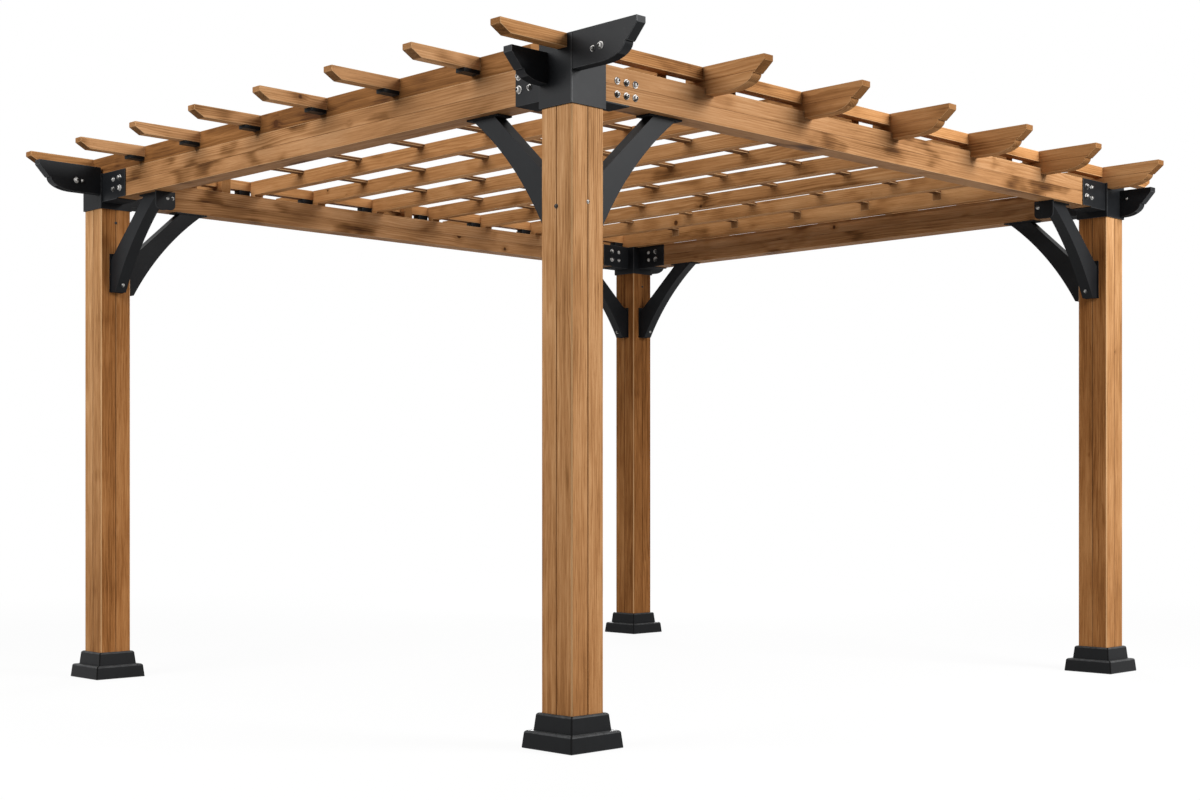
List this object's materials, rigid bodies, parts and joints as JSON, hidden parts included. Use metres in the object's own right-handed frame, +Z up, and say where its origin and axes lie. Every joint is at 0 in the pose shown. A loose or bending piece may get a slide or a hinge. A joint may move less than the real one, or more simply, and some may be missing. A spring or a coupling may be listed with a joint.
{
  "type": "wooden pergola",
  "caption": "Free-standing timber pergola with square posts, black steel corner connectors and arched braces, and an open roof of rafters and slats.",
  "frame": {"origin": "on the ground at the middle of the four posts", "axes": "+Z up, +Y along the slats and the longer side, +X along the rafters"},
  "size_m": [3.5955, 3.9875, 2.24],
  "materials": {
    "post_timber": "stained, satin",
    "beam_timber": "stained, satin",
    "rafter_timber": "stained, satin",
    "slat_timber": "stained, satin",
    "connector_steel": "powder coated, satin",
    "brace_steel": "powder coated, satin",
    "trim_black": "powder coated, satin"
  },
  "bodies": {
    "root": {"front_post": "post_timber", "left_post": "post_timber", "right_post": "post_timber", "back_post": "post_timber", "front_post_trim": "trim_black", "left_post_trim": "trim_black", "right_post_trim": "trim_black", "back_post_trim": "trim_black", "front_connector": "connector_steel", "left_connector": "connector_steel", "right_connector": "connector_steel", "back_connector": "connector_steel", "front_beam": "beam_timber", "back_beam": "beam_timber", "left_beam": "beam_timber", "right_beam": "beam_timber", "front_post_brace_x": "brace_steel", "front_post_brace_y": "brace_steel", "left_post_brace_x": "brace_steel", "left_post_brace_y": "brace_steel", "right_post_brace_x": "brace_steel", "right_post_brace_y": "brace_steel", "back_post_brace_x": "brace_steel", "back_post_brace_y": "brace_steel", "rafter_1": "rafter_timber", "rafter_2": "rafter_timber", "rafter_3": "rafter_timber", "rafter_4": "rafter_timber", "rafter_5": "rafter_timber", "rafter_6": "rafter_timber", "rafter_7": "rafter_timber", "rafter_8": "rafter_timber", "rafter_9": "rafter_timber", "rafter_10": "rafter_timber", "left_rafter_tail_1": "rafter_timber", "left_rafter_tail_2": "rafter_timber", "left_rafter_tail_3": "rafter_timber", "right_rafter_tail_1": "rafter_timber", "right_rafter_tail_2": "rafter_timber", "right_rafter_tail_3": "rafter_timber", "slat_1": "slat_timber", "slat_2": "slat_timber", "slat_3": "slat_timber", "slat_4": "slat_timber", "slat_5": "slat_timber", "slat_6": "slat_timber", "slat_7": "slat_timber", "slat_8": "slat_timber"}
  },
  "joints": []
}
